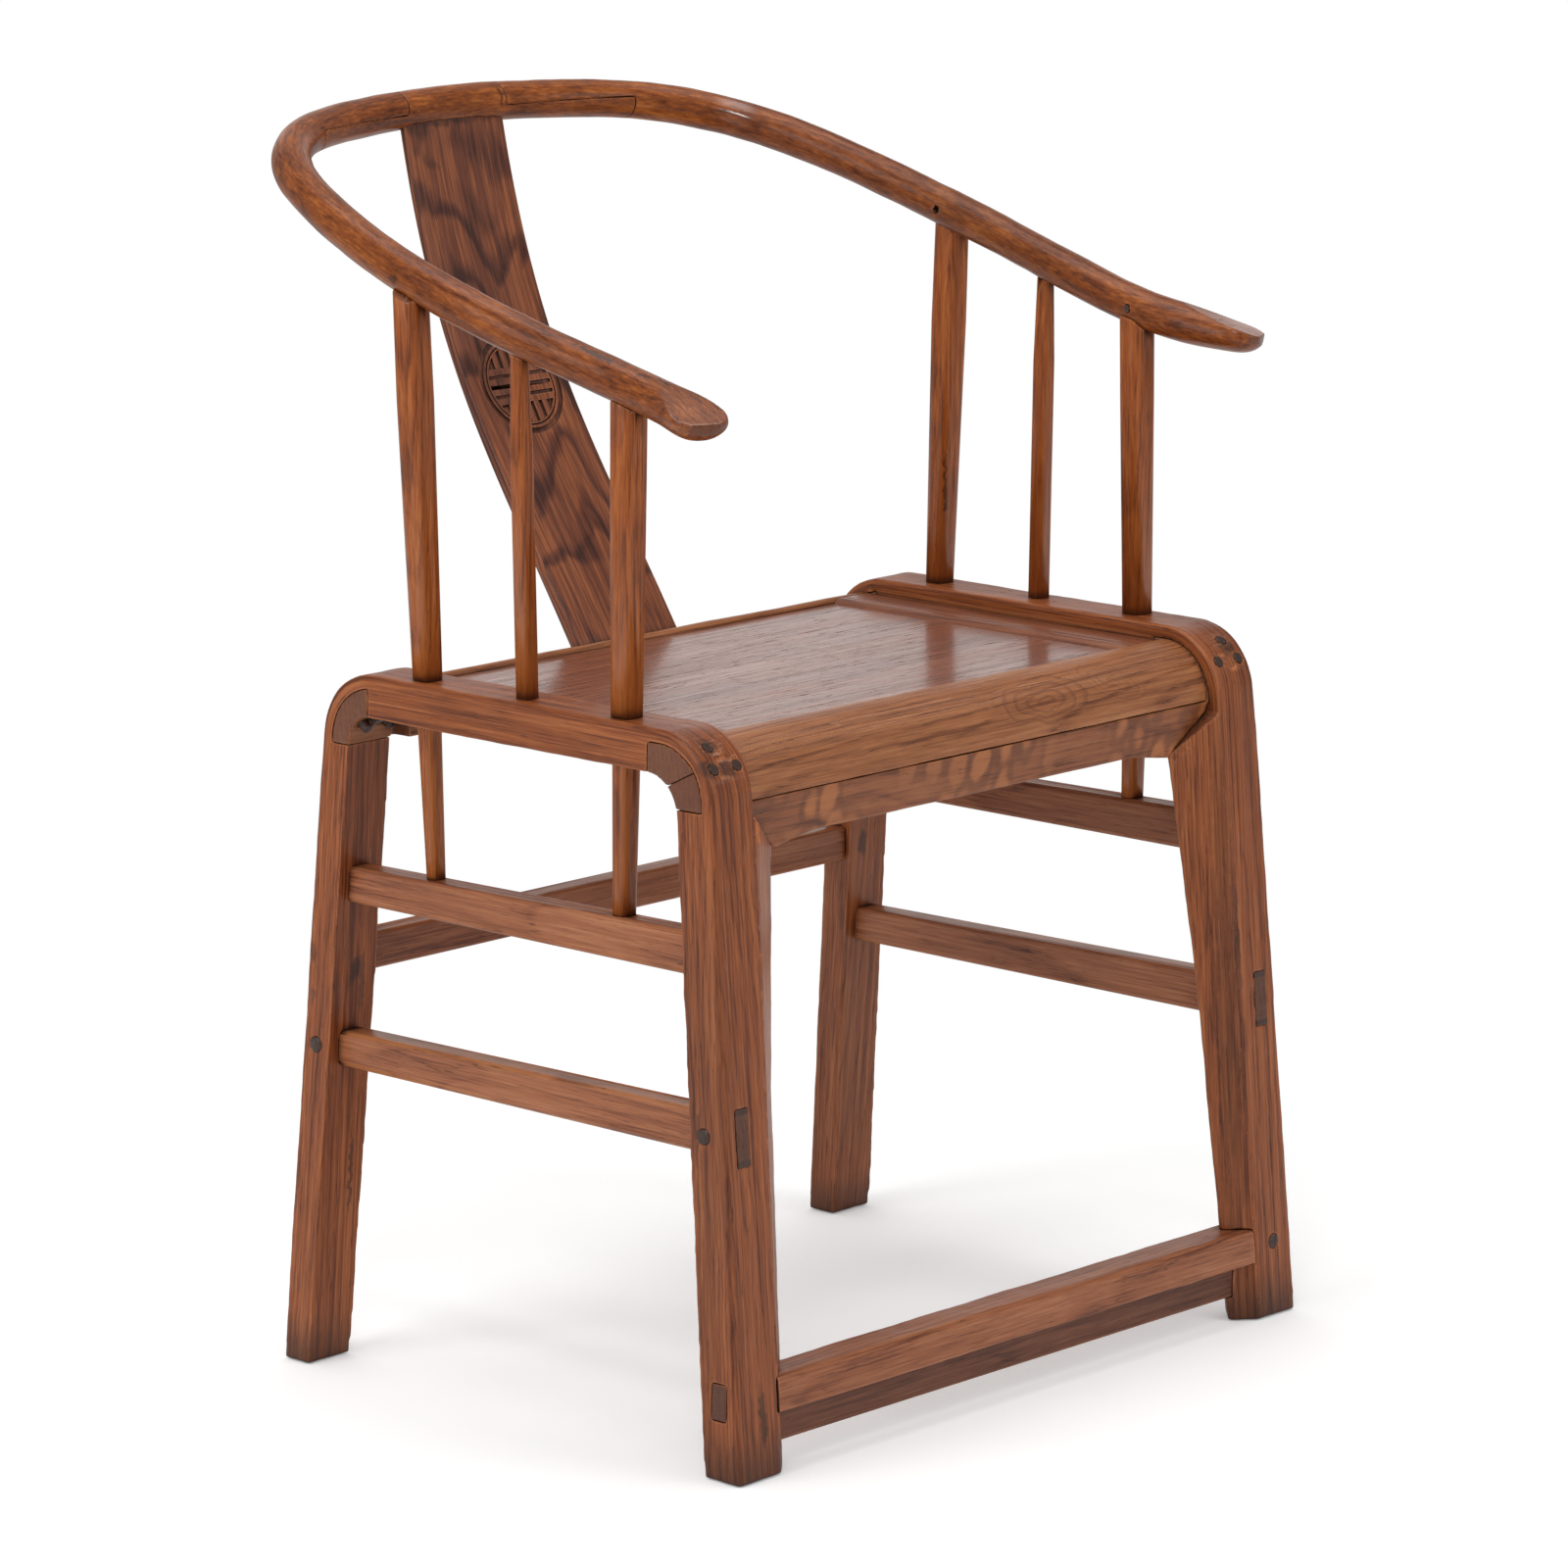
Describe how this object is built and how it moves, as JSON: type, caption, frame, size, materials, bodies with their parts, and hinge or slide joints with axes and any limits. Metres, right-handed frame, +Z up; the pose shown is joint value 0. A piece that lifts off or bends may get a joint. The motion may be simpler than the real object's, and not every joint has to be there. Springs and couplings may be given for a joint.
{
  "type": "horseshoe back armchair",
  "caption": "Wooden armchair with a sloping horseshoe arm rail, curved back splat, framed plank seat, bent-rail side frames, stretchers and footrest.",
  "frame": {"origin": "on the floor, at the middle of the chair's overall width and overall depth", "axes": "+Z up, the sitter faces -Y, +X to the right hand in a view from the front"},
  "size_m": [0.6074, 0.6006, 0.8892],
  "materials": {
    "frame_wood": "satin",
    "seat_rail_wood": "satin",
    "arm_wood": "satin",
    "post_wood": "satin",
    "stretcher_wood": "satin",
    "panel_wood": "satin",
    "splat_wood": "satin",
    "peg_wood": "satin"
  },
  "bodies": {
    "root": {"left_side_frame": "frame_wood", "right_side_frame": "frame_wood", "front_seat_rail": "seat_rail_wood", "back_seat_rail": "seat_rail_wood", "left_inner_seat_rail": "seat_rail_wood", "right_inner_seat_rail": "seat_rail_wood", "front_apron": "seat_rail_wood", "seat_batten": "seat_rail_wood", "crest_rail": "arm_wood", "left_arm_rail": "arm_wood", "right_arm_rail": "arm_wood", "left_back_post": "post_wood", "right_back_post": "post_wood", "left_middle_post": "post_wood", "right_middle_post": "post_wood", "left_front_post": "post_wood", "right_front_post": "post_wood", "left_upper_side_stretcher": "stretcher_wood", "right_upper_side_stretcher": "stretcher_wood", "left_lower_side_stretcher": "stretcher_wood", "right_lower_side_stretcher": "stretcher_wood", "back_stretcher": "stretcher_wood", "footrest": "stretcher_wood", "footrest_apron": "stretcher_wood", "corner_pegs": "peg_wood", "stretcher_pegs": "peg_wood", "arm_pegs": "peg_wood", "scarf_wedges": "peg_wood", "through_tenon_wedges": "peg_wood", "seat_panel": "panel_wood", "back_splat": "splat_wood"}
  },
  "joints": []
}
